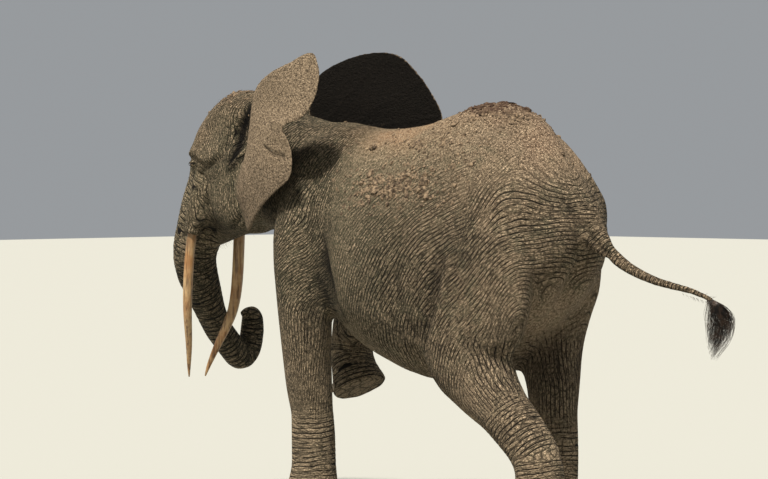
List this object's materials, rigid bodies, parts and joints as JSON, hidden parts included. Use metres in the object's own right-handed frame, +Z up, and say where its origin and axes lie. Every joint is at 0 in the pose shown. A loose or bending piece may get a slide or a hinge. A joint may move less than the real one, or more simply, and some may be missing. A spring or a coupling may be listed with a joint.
{
  "type": "african elephant",
  "caption": "Life-size African elephant in mid stride: fore foot lifted, ears half spread, trunk curling up at its tip, long slender tusks.",
  "frame": {"origin": "middle of the bounding box, at floor level", "axes": "+X from head to tail, so the head faces -X; +Y to the animal's right; +Z up"},
  "size_m": [4.5412, 1.299, 2.8352],
  "materials": {
    "skin": "matte, cracked and wrinkled, dusted with dry mud",
    "ear_skin": "matte, finely speckled",
    "ivory": "worn ivory, stained brown",
    "horn": "dusty horn",
    "bristle": "coarse black bristle",
    "eye": "wet and glossy"
  },
  "bodies": {
    "root": {"head": "skin", "neck": "skin", "torso": "skin", "trunk_upper": "skin", "trunk_middle": "skin", "trunk_tip": "skin", "foreleg_left": "skin", "foreleg_right": "skin", "forefoot_left": "skin", "forefoot_right": "skin", "hindleg_left": "skin", "hindleg_right": "skin", "hindfoot_left": "skin", "hindfoot_right": "skin", "tail": "skin", "tail_end": "skin", "tail_tuft": "bristle", "ear_left": "ear_skin", "ear_right": "ear_skin", "eye_left": "eye", "eye_right": "eye", "tusk_left": "ivory", "tusk_right": "ivory", "forefoot_left_nail_1": "horn", "forefoot_left_nail_2": "horn", "forefoot_left_nail_3": "horn", "forefoot_left_nail_4": "horn", "forefoot_left_nail_5": "horn", "forefoot_right_nail_1": "horn", "forefoot_right_nail_2": "horn", "forefoot_right_nail_3": "horn", "forefoot_right_nail_4": "horn", "forefoot_right_nail_5": "horn", "hindfoot_left_nail_1": "horn", "hindfoot_left_nail_2": "horn", "hindfoot_left_nail_3": "horn", "hindfoot_left_nail_4": "horn", "hindfoot_right_nail_1": "horn", "hindfoot_right_nail_2": "horn", "hindfoot_right_nail_3": "horn", "hindfoot_right_nail_4": "horn"}
  },
  "joints": []
}
